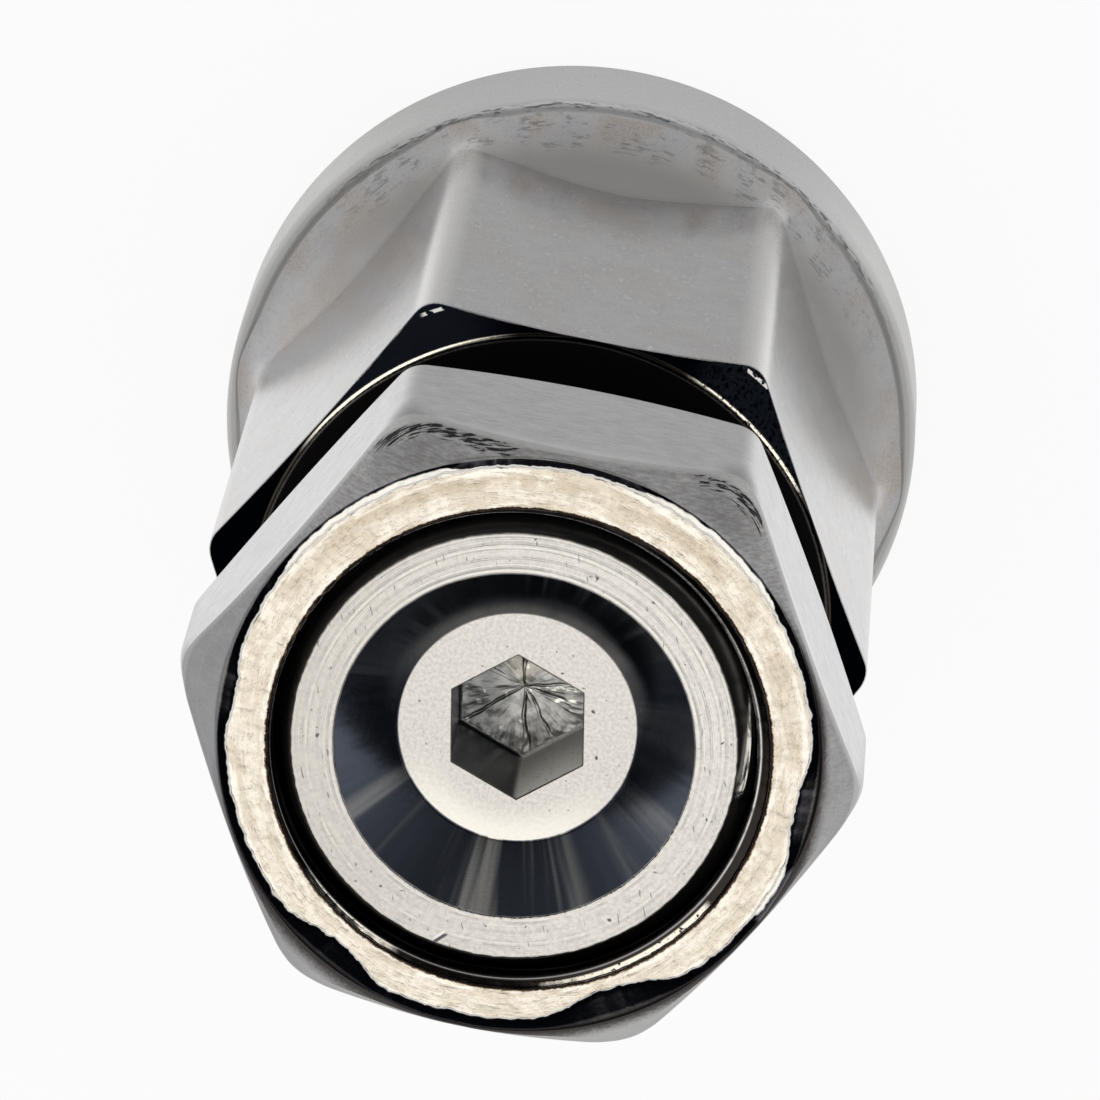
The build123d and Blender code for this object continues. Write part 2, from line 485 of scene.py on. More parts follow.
def cover_nut_shape(g, size):
    apothem, face = size["Apothem"], size["Face radius"]
    base, top = size["Base"], size["Top"]

    def bands(bearing):
        """Radii of the flats, front edge, shelf, mouth and brow; heights of the brow and shelf."""
        # the hexagon stands a little off the axis of the bore, by the slack in the thread
        off = HEXAGON_OFF_AXIS * cosine(bearing)
        # the front was faced a little off centre, so its bands run out of round
        front = hexagon_reach(g, bearing, apothem, FRONT_EDGE_ROUND) + off
        shelf = least(SHELF_RADIUS + 0.14 * cosine(bearing - radians(350)), front - 0.12)
        mouth = MOUTH_RADIUS + 0.22 * cosine(bearing - radians(335))
        mouth = mouth + 0.05 * round_the_axis(g, bearing, 26.0, 9.0, 4.0)
        lean = 0.5 - 0.5 * sine(bearing)
        shelf_height = top - SHELF_DROP - 0.10 * lean
        reach = hexagon_reach(g, bearing, apothem, size["Edge rounding"])
        corner = (reach - apothem) / (CORNER_REACH - APOTHEM)
        brow = front - 0.02 - 0.05 * corner
        brow_height = (shelf_height - (brow - shelf) * SHOULDER_SLOPE
                       - 0.10 - 0.4 * (1.0 - lean) - 0.3 * corner * lean)
        return reach + off, front, shelf, mouth, brow, brow_height, shelf_height

    def corners(bearing):
        reach, _, shelf, mouth, brow, brow_height, shelf_height = bands(bearing)
        off = HEXAGON_OFF_AXIS * cosine(bearing)
        corner = (reach - off - apothem) / (CORNER_REACH - APOTHEM)
        worn, burr = 0.0, 0.0
        for place, depth, spread in LIP_DIPS:
            away = turned_from(bearing, place) / spread
            worn = calc("EXPONENT", away * away * away * -0.4) * depth + worn
        for place, half, width in LIP_BURRS:
            burr = g.step(turned_from(bearing, place), half, half * 0.4) * width + burr
        ragged = round_the_axis(g, bearing, 22.0, 4.0, 4.0)
        teeth = round_the_axis(g, bearing, 48.0, 8.0, 2.0)
        lip = LIP_RADIUS + 0.17 * cosine(bearing - radians(22)) - worn * (1.0 + 0.3 * ragged)
        lip = lip + 0.13 * ragged + (0.06 + 0.14 * worn) * teeth
        lip = lip - g.step(turned_from(bearing, 283.0), 34.0, 12.0) * 0.12
        ledge = 0.06 + 0.03 * ragged
        burr_drop = g.step(burr, 0.0, 0.08, 0.10, 0.01)
        swing = 0.07 * cosine(bearing - radians(342))
        return [
            Corner(MOUTH_RADIUS, base, 0.05, 3, 2, "face"),
            Corner(face + off * 0.5, base, 0.05, 4, 4, "face"),
            Corner(reach, base + (reach - face) * CHAMFER_SLOPE, 0.07, 4, 5),
            Corner(reach, brow_height - 0.35 - BROW_HEIGHT * corner, 0.25 + 0.6 * corner, 8, 8, "flat"),
            Corner(brow, brow_height, 0.22 + 0.5 * corner, 2, 10, "brow"),
            Corner(shelf, shelf_height, 0.08, 5, 3, "shoulder"),
            Corner(lip + 0.07 + burr, top - ledge - burr_drop, 0.03, 3, 2, "shelf"),
            Corner(lip + 0.05, top - ledge - 0.03, 0.02, 2, 2, "shelf"),
            Corner(lip, top - 0.01, 0.04, 1, 4, "shelf"),
            Corner(mouth, top - 0.02, 0.05, 16, 3, "lip"),
            Corner(mouth - 0.09, top - 0.13, 0.02, 2, 2, "mouth"),
            Corner(BORE_RADIUS + 0.15 + swing, top - 0.20, 0.03, 2, 3, "mouth"),
            Corner(BORE_RADIUS + 0.06 + swing * 0.5, top - 0.21, 0.02, 1, 2, "step"),
            Corner(BORE_RADIUS, top - 0.38, 0.03, 2, 2, "step"),
            Corner(BORE_RADIUS, base + 0.37, 0.03, 42, 2, "bore"),
        ]

    def measures(bearing, radius, height):
        """How far a place lies inside the front's edge, below the brow, outside the shelf and mouth."""
        _, front, shelf, mouth, _, brow_height, _ = bands(bearing)
        return {"inset": front - radius, "below": brow_height - height,
                "beyond": radius - shelf, "within": radius - mouth}

    def details(bearing, radius, height):
        groove = BORE_RADIUS + thread_depth(bearing, height, POST_PITCH, BORE_GROOVE,
                                            BORE_THREAD_START)
        inside = (radius < BORE_RADIUS + 0.1) * (height > base + 0.05) * (height < top - 0.3)
        radius = most(radius, groove * inside)
        on_top = (radius > MOUTH_RADIUS - 0.25) * g.step(height, top - 0.2, top - 0.04)
        spot = g.join(radius * cosine(bearing), radius * sine(bearing), 0.0)
        hammered = g.noise(spot, 2.2, 6.0, 3.0, 0.6)
        outward = g.join(cosine(bearing) * 60.0, sine(bearing) * 60.0, radius * 1.2)
        pulled = g.noise(outward, 1.0, 7.0, 2.0)
        # one shallow ring-shaped dent at the back
        from_dent = square_root((turned_from(bearing, 96.0) * 0.17) ** 2 + ((radius - 9.95) * 0.7) ** 2)
        dent = abs(from_dent - 0.17)
        height = height - on_top * (0.05 * hammered + 0.03 * pulled + 0.02 * g.step(dent, 0.07, 0.0))
        return radius, height

    regions = ("face", "shoulder", "flat", "brow", "shelf", "lip", "mouth", "step", "bore")
    return turned_surface(g, COVER_NUT_COLUMNS, corners, details=details, regions=regions,
                          ridge=True, measures=measures)


def post_shape(g, size):
    end, crest = size["End height"], size["Crest radius"]

    def corners(bearing):
        socket = SOCKET_APOTHEM / cosine(abs(((bearing - radians(SOCKET_TURN)) % (pi / 3)) - pi / 6))
        end_edge = END_RADIUS + 0.05 * round_the_axis(g, bearing, 24.0, 31.0, 4.0)
        recess_edge = RECESS_RADIUS + 0.03 * round_the_axis(g, bearing, 12.0, 32.0, 3.0)
        return [
            Corner(0.0, STUD_DEPTH, 0.0, 0, 0),
            Corner(crest - 0.01, STUD_DEPTH, 0.03, 4, 2),
            Corner(crest - 0.01, NUT_TOP - 0.1, 0.03, 2, 2),
            Corner(crest - 0.11, NUT_TOP - 0.02, 0.03, 2, 2),
            Corner(NECK_RADIUS, NUT_TOP - 0.02, 0.3, 3, 5, "thread"),
            Corner(NECK_RADIUS, NECK_TOP, 0.2, 3, 3, "thread"),
            Corner(crest, NECK_TOP + crest - NECK_RADIUS, 0.05, 10, 1, "thread"),
            Corner(crest, end - (crest - END_RADIUS), 0.03, 108, 1, "thread"),
            Corner(end_edge, end, 0.05, 9, 4, "thread"),
            Corner(recess_edge, end, 0.03, 12, 4, "ring"),
            Corner(FLOOR_RADIUS, RECESS_FLOOR, 0.04, 8, 4, "recess"),
            Corner(socket, RECESS_FLOOR, 0.06, 8, 4, "boss"),
            Corner(socket, SOCKET_FLOOR, 0.12, 8, 3, "socket"),
            Corner(0.0, SOCKET_FLOOR - 0.2, 0.0, 22, 0, "socket_floor"),
        ]

    def details(bearing, radius, height):
        started = g.step(height, end - 1.6, end - 0.3)
        root = choose(started, crest - POST_GROOVE, END_RADIUS)
        depth = thread_depth(bearing, height, POST_PITCH, POST_GROOVE, size["Thread start"])
        groove = most(crest - depth, root)
        outside = (height > NECK_TOP) * (radius > NECK_RADIUS - 0.05) * (height < end - 0.02)
        radius = least(radius, choose(outside, groove, 100.0))
        # the flattened end of the thread: a narrow step that climbs across the lead chamfer
        swung = (bearing * (180 / pi) + 180.0) % 360.0 - 180.0
        middle_of_step = THREAD_END_RADIUS + 0.0165 * swung
        step = g.step(abs(radius - middle_of_step), 0.16, 0.10) * (height > end - 0.62)
        step = step * g.step(abs(swung - THREAD_END_BEARING), 15.0, 11.0)
        height = height + step * (end - (middle_of_step - END_RADIUS) - height)
        # the key socket's floor: creases that run out from the middle, and a rough skin
        at_floor = height < SOCKET_FLOOR + 0.2
        wander = 30.0 * (g.noise(g.join(radius, cosine(bearing), 0.0), 1.1, 11.0, 2.0) - 0.5)
        crease = 0.0
        for place, amount in FLOOR_CREASES:
            away = turned_from(bearing, place + wander) * (radius + 0.15) * (pi / 180)
            crease = most(g.step(away, 0.08, 0.0) * amount, crease)
        spot = g.join(radius * cosine(bearing), radius * sine(bearing), 0.0)
        rough = g.noise(spot, 1.3, 12.0, 4.0, 0.6)
        height = height - at_floor * (crease * 0.055 + rough * 0.15 - 0.06) * g.step(radius, 2.75, 2.2)
        return radius, height

    return turned_surface(g, POST_COLUMNS, corners, closed=False, details=details,
                          regions=("thread", "ring", "recess", "boss", "socket", "socket_floor"))


# ---------------------------------------------------------------- finishes

class Finish:
    """A metal finish under construction, with the piece's place in millimetres at hand."""

    def __init__(self, name):
        self.material = bpy.data.materials.new(name)
        self.material.use_nodes = True
        self.g = Graph(self.material.node_tree)
        self.shader = next(node for node in self.g.tree.nodes if node.type == "BSDF_PRINCIPLED")
        self.shader.inputs["Metallic"].default_value = 1.0
        self.spot = self.g.stretch(self.g.add("ShaderNodeTexCoord", out=3), (1000.0, 1000.0, 1000.0))
        self.x, self.y, self.z = self.g.split(self.spot)
        self.radius = square_root(self.x * self.x + self.y * self.y)

    def mark(self, name):
        return self.g.add("ShaderNodeAttribute", {"attribute_name": name}, out=2)

    def grain(self, per_mm, seed, detail=3.0, roughness=0.6):
        return self.g.noise(self.spot, per_mm, seed, detail, roughness)

    def specks(self, per_mm, seed, share):
        """Small separate spots: 1 inside, 0 outside; a larger share makes them larger and closer."""
        cells = self.g.noise(self.spot, per_mm, seed, 1.0, 0.5)
        return self.g.step(cells, 0.78 - share, 0.84 - share)

    def spokes(self, number, seed, drift=0.05, detail=3.0):
        """Streaks that run straight out from the axis, broken along it the more they drift."""
        ring = self.g.join(self.x / self.radius * number, self.y / self.radius * number,
                           self.radius * drift)
        return self.g.noise(ring, 1.0, seed, detail, 0.6)

    def drawn(self, per_mm, seed, detail=2.0, roughness=0.5):
        """Unevenness drawn out along some axes; per_mm has a scale for each axis."""
        return self.g.noise(self.g.stretch(self.spot, per_mm), 1.0, seed, detail, roughness)

    def rings(self, per_mm, seed):
        """Fine lines round the axis, as a turning tool leaves them."""
        across = self.g.join(self.radius * per_mm, self.z * per_mm, 0.0)
        return self.g.noise(across, 1.0, seed, 3.0, 0.7)

    def done(self, base, roughness, relief, metal=None):
        """Relief is in millimetres."""
        g, shader = self.g, self.shader
        g.tree.links.new(base.socket, shader.inputs["Base Color"])
        g.tree.links.new(roughness.socket, shader.inputs["Roughness"])
        if metal is not None:
            g.tree.links.new(metal.socket, shader.inputs["Metallic"])
        bump = g.add("ShaderNodeBump", None, {"Strength": 1.0, "Distance": MM, "Height": relief})
        g.tree.links.new(bump.socket, shader.inputs["Normal"])
        return self.material

    def toward(self, bearing, low, high):
        """1 on the side of the axis that looks to a bearing, fading between two cosines."""
        ahead = (self.x * cos(radians(bearing)) + self.y * sin(radians(bearing))) / self.radius
        return self.g.step(ahead, low, high)


def wheel_nut_plating():
    """Bright plating, dulled and mottled by handling; smooth on the turned chamfer, painted near black
    there as a dark reflection, with painted highlights.
    """
    f = Finish("wheel_nut_plating")
    g = f.g
    flat, flare, rim, ridge = f.mark("flat"), f.mark("flare"), f.mark("rim"), f.mark("ridge")
    chamfer, face, bore, edge = f.mark("chamfer"), f.mark("face"), f.mark("bore"), f.mark("edge")
    cloud, grain = f.grain(1.1, 4.0, 3.0), f.grain(6.5, 5.0, 2.0)
    base = g.shade(g.step(cloud, 0.32, 0.68), (0.64, 0.635, 0.63), (0.56, 0.555, 0.56))
    brown = g.step(f.grain(0.4, 3.0, 1.0), 0.43, 0.66) * (0.3 + 0.6 * flare)
    base = g.shade(brown, base, (0.54, 0.465, 0.40))
    base = g.shade(g.step(f.grain(0.7, 10.0, 1.0), 0.52, 0.7) * 0.35, base, (0.50, 0.48, 0.56))
    # pale patches and flecks rubbed into the flats
    fine = f.grain(13.0, 9.0, 1.0)
    base = g.shade(g.step(fine, 0.35, 0.65) * 0.5 * (1.0 - 0.8 * rim), base, (0.70, 0.70, 0.71))
    flecks = g.step(f.drawn((5.0, 5.0, 1.8), 6.0, 3.0, 0.7), 0.51, 0.67) * g.step(cloud, 0.49, 0.60)
    base = g.shade(flecks * (0.2 + 0.45 * flat), base, (0.88, 0.88, 0.90))
    smudges = g.step(grain, 0.40, 0.30) * g.step(cloud, 0.55, 0.42) * 0.6
    base = g.shade(smudges * (1.0 - rim), base, (0.44, 0.42, 0.43))
    # the hexagon's corner edges are painted pale: a painted highlight
    base = g.shade(ridge * flat * (0.55 + 0.5 * grain), base, (0.94, 0.93, 0.91))
    # the flare is dull, and a line of small dark marks runs where it meets the rim, on the back
    rim_round = rim * g.step(f.z, RIM_HEIGHT - 0.7, RIM_HEIGHT)
    dull = most(flare, rim_round * g.step(f.radius, 13.6, 13.15, 0.15, 1.0))
    # the flare is painted darker next to the flats at the back: painted shade
    flare_shade_by_flats = flare * g.step(f.radius, 13.3, 11.6) * f.toward(80.0, -0.2, 0.7)
    base = g.shade(flare_shade_by_flats * 0.95, base, (0.32, 0.31, 0.30))
    # the rim is painted lighter towards the back: painted light
    rim_painted_light = g.shade(f.toward(85.0, 0.55, 0.95), (0.50, 0.495, 0.485), (0.76, 0.76, 0.76))
    base = g.shade(rim, base, rim_painted_light)
    # the corners' painted highlight runs on a little into the flare
    base = g.shade(flare * ridge * ridge * g.step(f.radius, 13.2, 12.6) * 0.7, base, (0.80, 0.79, 0.78))
    back = f.toward(90.0, 0.35, 0.8)
    strokes = g.step(f.drawn((1.6, 1.6, 13.0), 8.0, 2.0, 0.7), 0.50, 0.58)
    on_line = g.step(abs(f.z - 5.5), 0.14, 0.04)
    above_line = 0.6 * g.step(abs(f.z - 6.2), 0.9, 0.3) * g.step(cloud, 0.48, 0.58)
    scuffs = strokes * (on_line + above_line) * back * g.step(f.radius, 11.6, 12.2)
    base = g.shade(scuffs * 0.7, base, (0.10, 0.10, 0.10))
    # painted highlights at the tips of the chamfer and along its ring; the rest of the chamfer is
    # painted near black, as a dark reflection
    tip = most(f.toward(119.4, 0.9990, 0.9997), f.toward(58.8, 0.9978, 0.9988))
    tip = tip * g.step(f.z, NUT_TOP - 0.80, NUT_TOP - 0.78) * g.step(f.grain(4.5, 2.0, 1.0), 0.44, 0.50)
    tip = tip * chamfer * g.step(f.z, NUT_TOP - 0.71, NUT_TOP - 0.73)
    left, right = f.toward(130.0, 0.90, 0.985), f.toward(54.0, 0.955, 0.985)
    shine = most(left, right * g.step(grain, 0.36, 0.5))
    chamfer_dark_reflection = g.shade(edge, (0.05, 0.06, 0.08), (0.035, 0.03, 0.025))
    base = g.shade(chamfer * (1.0 - shine), base, chamfer_dark_reflection)
    base = g.shade(edge * chamfer * shine, base, (0.95, 0.90, 0.78))
    base = g.shade(tip, base, (1.0, 0.97, 0.90))
    # the end face is painted near black from the bore out to the chamfer, as shade between the two
    # nuts, and left dull
    base = g.shade(face, base, (0.013, 0.012, 0.012))
    base = g.shade(bore * 0.6, base, (0.20, 0.19, 0.18))
    roughness = (0.15 + 0.10 * (cloud - 0.5) + 0.14 * (grain - 0.5) * (1.0 - rim)
                 + 0.34 * dull + 0.12 * rim * (1.0 - dull) + 0.12 * flat * ridge
                 - 0.10 * chamfer * (1.0 - 0.6 * edge) + 0.3 * face)
    relief = 0.0025 * grain * (1.0 - most(ridge * flat, rim)) + 0.004 * cloud * (1.0 - chamfer)
    return f.done(base, roughness, relief, 1.0 - most(0.6 * dull, 0.3 * rim, tip))


def cover_nut_plating():
    """The same plating, dull on the shoulder and brow, with a pale hammered lip."""
    f = Finish("cover_nut_plating")
    g = f.g
    lip, shelf, mouth, ridge = f.mark("lip"), f.mark("shelf"), f.mark("mouth"), f.mark("ridge")
    shoulder, brow, flat, edge = f.mark("shoulder"), f.mark("brow"), f.mark("flat"), f.mark("edge")
    ledge, inside = f.mark("step"), least(f.mark("bore") + f.mark("face"), 1.0)
    inset, below, beyond, within = (f.mark(name) for name in ("inset", "below", "beyond", "within"))
    cloud, grain = f.grain(1.2, 13.0, 3.0), f.grain(6.5, 14.0, 2.0)
    base = g.shade(g.step(cloud, 0.3, 0.7), (0.64, 0.635, 0.63), (0.55, 0.545, 0.55))
    # the hexagon's corners are painted paler: a painted highlight
    base = g.shade(ridge * flat * 0.4, base, (0.82, 0.81, 0.80))
    fine, dull = f.grain(13.0, 9.0, 1.0), most(shoulder, brow)
    base = g.shade(g.step(fine, 0.35, 0.65) * 0.5, base, (0.70, 0.70, 0.71))
    # the shoulder is streaked brown and grey from side to side
    back = f.toward(90.0, -0.2, 0.6)
    streaked = f.drawn((2.2, 11.0, 3.0), 18.0, 2.0, 0.7)
    brown = dull * g.step(streaked, 0.65, 0.32) * (0.15 + 0.45 * back)
    base = g.shade(brown, base, (0.36, 0.33, 0.315))
    base = g.shade(dull * g.step(streaked, 0.55, 0.75) * (0.1 + 0.15 * back), base, (0.80, 0.80, 0.80))
    brushed = f.drawn((1.6, 2.0, 15.0), 17.0, 2.0, 0.6)
    base = g.shade(flat * g.step(brushed, 0.4, 0.65) * 0.55, base, (0.80, 0.80, 0.80))
    # the flats are painted pale towards the front's edge: a painted highlight
    pale = most(flat * g.step(below, 1.1, 0.1), brow * g.step(inset, 0.16, 0.04))
    base = g.shade(pale * 0.65, base, (0.93, 0.93, 0.92))
    # dark wrinkles, drawn out sideways, just inside the edge at the two back corners
    folds = g.noise(g.join(f.x * 1.9, inset * 19.0 + f.x * 2.6, 0.0), 1.0, 19.0, 2.0, 0.6)
    left, right = g.step(abs(f.x + 4.5), 2.9, 1.7), g.step(abs(f.x - 5.9), 1.7, 0.9) * 0.8
    at_edge = g.step(inset, 0.10, 0.16) * g.step(inset, 0.62, 0.22) * g.step(f.y, 9.0, 9.9)
    at_edge = at_edge * (left + right)
    wrinkle = g.step(folds + 0.15 * at_edge, 0.58, 0.66) * g.step(at_edge, 0.0, 0.3)
    base = g.shade(wrinkle * 0.95, base, (0.02, 0.02, 0.025))
    # a few short scratches on the back flat near its left end
    nicks = g.step(f.drawn((1.5, 1.0, 16.0), 20.0, 1.0) * g.step(abs(f.x + 3.4), 1.7, 0.5), 0.60, 0.66)
    nicks = nicks * flat * g.step(f.y, 10.6, 11.0) * g.step(abs(f.z - COVER_TOP + 2.4), 0.9, 0.4)
    base = g.shade(nicks * 0.55, base, (0.15, 0.15, 0.16))
    # the sloping shelf round the lip is painted near black, most towards its top: a painted dark
    # reflection
    shelf_dark_reflection = shelf * g.step(f.z, COVER_TOP - 0.4, COVER_TOP - 0.1, 0.85, 0.97)
    base = g.shade(shelf_dark_reflection, base, (0.035, 0.038, 0.05))
    # the shoulder is painted lighter at the front and darker to the left: painted light and shade
    base = g.shade(dull * f.toward(292.0, 0.3, 0.95) * 0.5, base, (0.88, 0.87, 0.86))
    base = g.shade(dull * f.toward(190.0, 0.5, 0.95) * 0.4, base, (0.40, 0.40, 0.41))
    # a dark band on the shoulder beyond the shelf, widest at the front: a painted dark reflection
    spread = 0.07 + 0.40 * f.toward(298.0, -0.1, 0.8) + 0.25 * f.toward(238.0, 0.5, 1.0)
    dark_reflection_band = g.step(beyond / spread + 0.6 * (grain - 0.5), 1.5, 0.1) * f.toward(298.0, -0.35, 0.2)
    dark_reflection_band = dark_reflection_band * shoulder
    base = g.shade(dark_reflection_band, base, (0.06, 0.05, 0.048))
    # the burrs' narrow ledge is painted cream and kept out of the metal: a painted highlight
    burr = g.step(abs(f.z - (COVER_TOP - 0.09)), 0.05, 0.035) * shelf
    base = g.shade(burr, base, (0.97, 0.94, 0.88))
    # the bevel in the mouth is painted dark as shade, but for two cream painted highlights; its step is
    # painted dark as shade, with a pale painted highlight at the back
    left = f.toward(238.0, 0.965, 0.98) * g.step(f.radius, 8.86, 8.90)
    right = f.toward(309.0, 0.92, 0.94) * g.step(f.radius, 9.04, 9.10)
    patches = (left + right) * g.step(grain, 0.33, 0.42)
    base = g.shade(mouth, base, g.shade(patches, (0.03, 0.026, 0.024), (0.80, 0.76, 0.68)))
    pale = f.toward(75.0, -0.6, 0.5) * g.step(cloud, 0.3, 0.5)
    base = g.shade(ledge, base, g.shade(pale, (0.10, 0.10, 0.11), (0.75, 0.75, 0.76)))
    # the bore and the base face are painted near black: painted shade
    base = g.shade(inside, base, (0.045, 0.042, 0.04))
    # the lip: pale cream, tarnished to tan towards its outer half at the back
    foil, pooled = f.spokes(42.0, 16.0, 3.2, 2.0), f.spokes(6.0, 35.0, 3.0)
    cream = g.shade(g.step(pooled, 0.38, 0.60), (0.665, 0.615, 0.53), (0.79, 0.755, 0.69))
    cream = g.shade(g.step(foil, 0.52, 0.40) * 0.3, cream, (0.58, 0.51, 0.42))
    tan_band = g.step(abs(f.radius - 10.05), 0.45, 0.1) * f.toward(90.0, -0.1, 0.7)
    cream = g.shade(tan_band * g.step(cloud, 0.3, 0.6) * 0.7, cream, (0.52, 0.445, 0.35))
    veins = g.noise(g.join(f.x * 0.9, f.y * 0.9, f.radius * 2.5), 1.0, 15.0, 3.0, 0.65)
    cream = g.shade(g.step(abs(veins - 0.5), 0.02, 0.0) * 0.5, cream, (0.36, 0.28, 0.20))
    # pale lines along the lip's inner and outer edges: painted highlights
    lip_edge_highlights = most(g.step(abs(within - 0.16), 0.10, 0.04), g.step(beyond, -0.75, -0.6))
    cream = g.shade(lip_edge_highlights * g.step(pooled, 0.45, 0.55) * 0.6, cream, (0.90, 0.88, 0.83))
    # the lip's rounded outer edge is painted tan and darker: painted shade
    cream = g.shade(edge * g.step(beyond, -0.8, -0.6) * 0.6, cream, (0.42, 0.37, 0.30))
    # a thin dark brown line along the inside of the lip, where it turns down into the mouth: painted
    # shade
    cream = g.shade(g.step(within + 0.14 * (grain - 0.5), 0.09, 0.04), cream, (0.09, 0.06, 0.04))
    base = g.shade(lip * g.step(f.z, COVER_TOP - 0.12, COVER_TOP - 0.09), base, cream)
    roughness = (0.18 + 0.12 * (cloud - 0.5) + 0.12 * (grain - 0.5) + 0.27 * dull * (1.0 - dark_reflection_band)
                 - 0.05 * shelf * (1.0 - burr) + 0.08 * lip + 0.08 * flat * ridge)
    relief = (0.0025 * grain + 0.004 * cloud + (0.006 * foil + 0.03 * pooled) * lip
              - 0.02 * wrinkle + 0.004 * streaked * dull)
    return f.done(base, roughness, relief, 1.0 - most(0.12 * dull, 0.65 * burr))


def turned_steel():
    """Bare steel: turning lines on the end ring, a smooth recess painted dark as a dark reflection, a
    thread painted dark as shade.
    """
    f = Finish("turned_steel")
    g = f.g
    ring, recess, boss = f.mark("ring"), f.mark("recess"), f.mark("boss")
    thread, socket, edge = f.mark("thread"), f.mark("socket"), f.mark("edge")
    socket_floor = f.mark("socket_floor")
    lines, streaks = f.rings(13.0, 21.0), f.spokes(4.5, 27.0)
    cloud, grain = f.grain(0.9, 23.0, 1.0), f.grain(7.5, 24.0, 2.0)
    base = g.shade(g.step(grain, 0.3, 0.7), (0.70, 0.69, 0.67), (0.58, 0.575, 0.56))
    # the end ring is painted darker towards the left: painted shade
    base = g.shade(f.toward(190.0, -0.2, 1.0) * ring * 0.5, base, (0.50, 0.485, 0.46))
    # turning lines, pale and dark, deeper in some stretches
    deep = f.toward(80.0, -0.3, 0.9) * 0.6 + g.step(cloud, 0.42, 0.6) * 0.5
    base = g.shade(ring * g.step(lines, 0.53, 0.60) * (0.15 + 0.6 * deep), base, (0.86, 0.85, 0.82))
    base = g.shade(ring * g.step(lines, 0.47, 0.40) * deep * 0.9, base, (0.36, 0.36, 0.35))
    pits = f.specks(2.3, 25.0, 0.05) + f.specks(5.0, 26.0, 0.075) * g.step(cloud, 0.46, 0.58)
    base = g.shade((ring + boss) * least(pits, 1.0) * 0.9, base, (0.06, 0.06, 0.06))
    scratches = g.noise(g.join(f.x * 7.0 + f.y * 2.5, f.y * 1.3 - f.x * 0.5, 0.0), 1.0, 37.0, 1.0)
    base = g.shade(ring * g.step(scratches, 0.69, 0.74) * 0.75, base, (0.16, 0.16, 0.16))
    # a slanting nick at the rim of the end ring, with a painted highlight beside it
    off_nick = f.x * sin(radians(261)) - f.y * cos(radians(261)) - 0.7 * (f.radius - 7.8)
    nick = g.step(abs(off_nick), 0.10, 0.05) * g.step(abs(f.radius - 7.83), 0.27, 0.17)
    glint = g.step(abs(off_nick - 0.14), 0.07, 0.03) * g.step(abs(f.radius - 7.73), 0.25, 0.15)
    here = ring * f.toward(261.0, 0.9, 0.95)
    base = g.shade(here * nick * 0.9, base, (0.05, 0.05, 0.07))
    base = g.shade(here * glint * 0.6, base, (0.90, 0.90, 0.88))
    lit_side = f.toward(270.0, 0.3, 1.0) * g.step(f.radius, 2.8, 4.2)
    base = g.shade(boss * lit_side, base, (0.86, 0.85, 0.81))
    # the recess is painted dark as a dark reflection, with four bundles of pale streaks, polish marks
    # painted bright as highlights, and a soft grey ramp of painted light down to its floor
    front = most(f.toward(278.0, 0.86, 0.97), 0.3 * f.toward(226.0, 0.95, 0.985),
                 0.12 * f.toward(24.0, 0.90, 0.98), 0.15 * f.toward(338.0, 0.93, 0.98))
    lit_ramp_by_boss = g.step(f.radius, FLOOR_RADIUS + 0.85, FLOOR_RADIUS + 0.1) * f.toward(90.0, 0.1, 0.75)
    dark = g.shade(g.step(streaks, 0.44, 0.66) * front, (0.082, 0.093, 0.118), (0.90, 0.87, 0.82))
    dark = g.shade(lit_ramp_by_boss * (0.6 + 0.8 * (streaks - 0.5)), dark, (0.66, 0.64, 0.61))
    base = g.shade(recess * (1.0 - 0.5 * edge * f.toward(90.0, 0.0, 0.8)), base, dark)
    crumbs = most(ring, recess) * edge * g.step(abs(f.radius - RECESS_RADIUS), 0.16, 0.08)
    crumbs = crumbs * f.toward(300.0, 0.4, 0.8) * g.step(grain, 0.52, 0.60)
    base = g.shade(crumbs, base, (0.16, 0.12, 0.09))
    # the thread is painted dark as shade; its flattened end is painted light where it catches the light
    step = g.step(abs(f.radius - (THREAD_END_RADIUS + 0.95 * f.y / f.radius)), 0.2, 0.12)
    step = step * f.toward(THREAD_END_BEARING, 0.966, 0.98) * g.step(lines, 0.42, 0.52)
    step = step * g.step(f.z, POST_END - 0.7, POST_END - 0.62)
    base = g.shade(thread, base, g.shade(step, (0.11, 0.105, 0.10), (0.66, 0.65, 0.63)))
    # key socket: one wall painted bright khaki, lighter towards the top, as a lit wall; the next almost
    # black, as painted shade
    khaki = socket * f.toward(310.0, 0.82, 0.88)
    lit_wall_tone = g.shade(g.step(f.z, 40.0, 42.5), (0.95, 0.93, 0.85), (0.98, 0.96, 0.87))
    walls = g.shade(khaki, (0.22, 0.23, 0.24), lit_wall_tone)
    base = g.shade(socket, base, g.shade(g.step(grain, 0.6, 0.8), walls, (0.13, 0.13, 0.12)))
    mottle = g.step(f.grain(2.2, 28.0, 2.0), 0.35, 0.65)
    ground = g.shade(mottle, (0.24, 0.245, 0.245), (0.42, 0.425, 0.42))
    ground = g.shade(f.toward(102.0, 0.70, 0.85), ground, (0.44, 0.43, 0.39))
